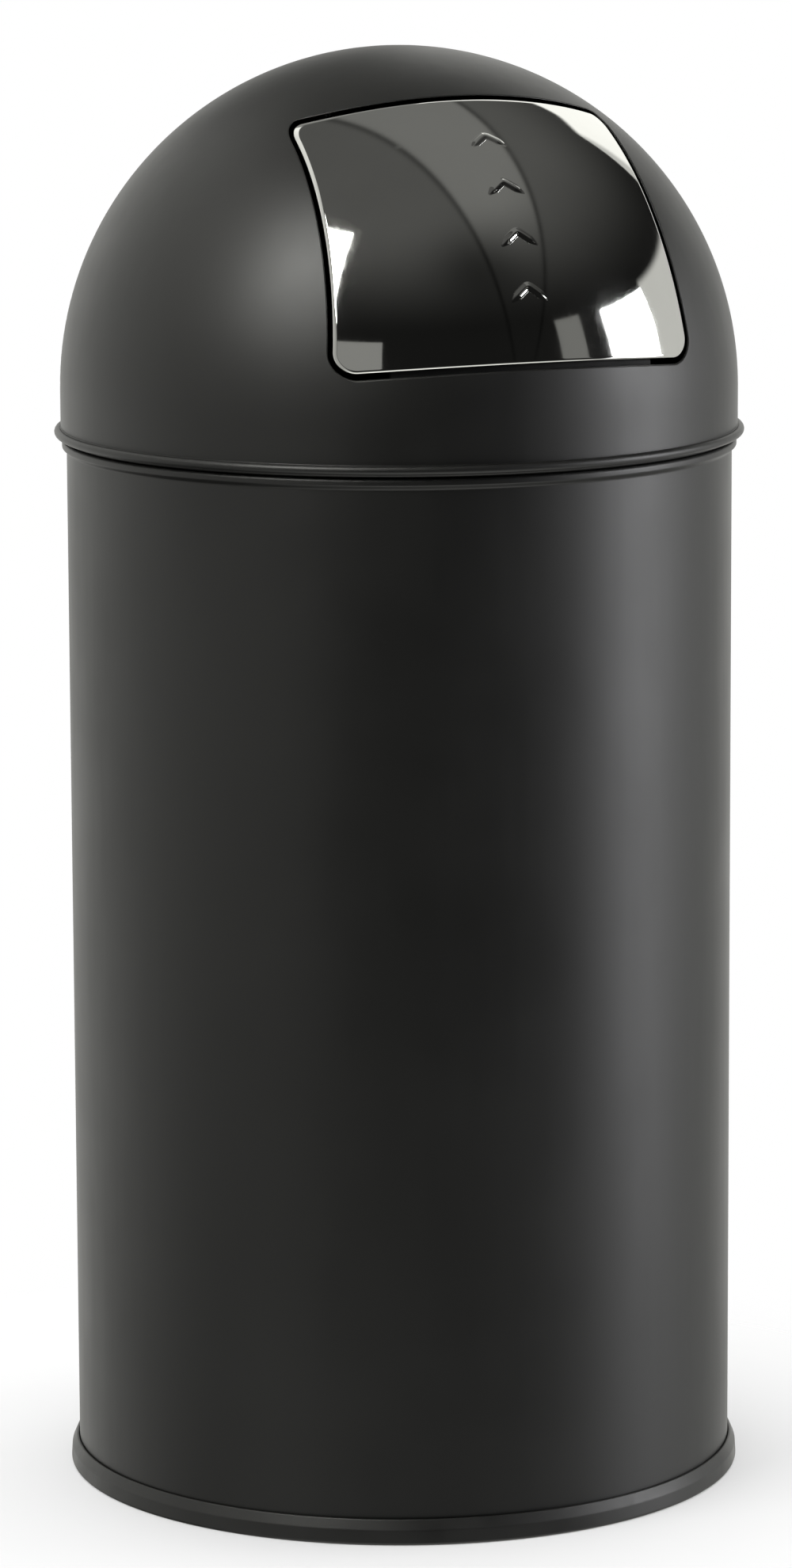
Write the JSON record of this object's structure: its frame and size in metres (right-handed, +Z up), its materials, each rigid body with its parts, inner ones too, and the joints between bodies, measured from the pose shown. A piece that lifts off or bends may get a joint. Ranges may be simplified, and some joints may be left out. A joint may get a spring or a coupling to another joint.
{
  "type": "trash can",
  "caption": "Free-standing round steel waste bin with a lift-off dome, a sprung mirror-finished push flap in the dome and a lift-out galvanised bucket with a bail.",
  "frame": {"origin": "on the floor under the middle of the bin", "axes": "+Z up along the bin's axis, the push flap faces -Y, +X is to the right of someone facing the flap"},
  "size_m": [0.3545, 0.3546, 0.74],
  "materials": {
    "black_paint": "satin black powder coat",
    "ring_plastic": "fine moulded texture",
    "polished_steel": "mirror-polished stainless sheet",
    "black_plastic": "moulded, matte",
    "plated_steel": "zinc plated",
    "spring_steel": "drawn spring wire",
    "nylon": "natural nylon",
    "rubber": "matte",
    "galvanised": "galvanised, light spangle"
  },
  "bodies": {
    "body": {"body_shell": "black_paint", "base_plate": "black_paint", "base_ring": "ring_plastic"},
    "lid": {"dome_shell": "black_paint", "lid_collar": "black_paint", "hinge_bracket_left": "plated_steel", "hinge_bracket_right": "plated_steel", "hinge_rod": "plated_steel", "rod_clips": "spring_steel", "return_spring_left": "spring_steel", "return_spring_right": "spring_steel", "stop_bumpers": "rubber"},
    "flap": {"flap_panel": "polished_steel", "flap_backing": "black_plastic", "flap_bush_left": "nylon", "flap_bush_right": "nylon"},
    "bucket": {"bucket_wall": "galvanised", "bucket_rim_wire": "plated_steel", "bucket_base": "galvanised", "bail_ear_left": "galvanised", "bail_ear_right": "galvanised", "ear_rivets": "plated_steel"},
    "bail": {"bail_wire": "plated_steel"}
  },
  "joints": [
    {"name": "lid_lift", "type": "slide", "parent": "body", "child": "lid", "axis": [0, 0, 1], "range_m": [0, 0.3]},
    {"name": "flap_swing", "type": "hinge", "parent": "lid", "child": "flap", "pos_m": [0, -0.06339, 0.70195], "axis": [1, 0, 0], "range_deg": [0, 60], "stiffness_Nm_per_rad": 0.25, "springref_deg": -91.67, "deforming": ["return_spring_left", "return_spring_right"]},
    {"name": "bucket_lift", "type": "slide", "parent": "body", "child": "bucket", "axis": [0, 0, 1], "range_m": [0, 0.055]},
    {"name": "bail_swing", "type": "hinge", "parent": "bucket", "child": "bail", "pos_m": [0, 0, 0.5165], "axis": [1, 0, 0], "range_deg": [0, 181.5]}
  ]
}
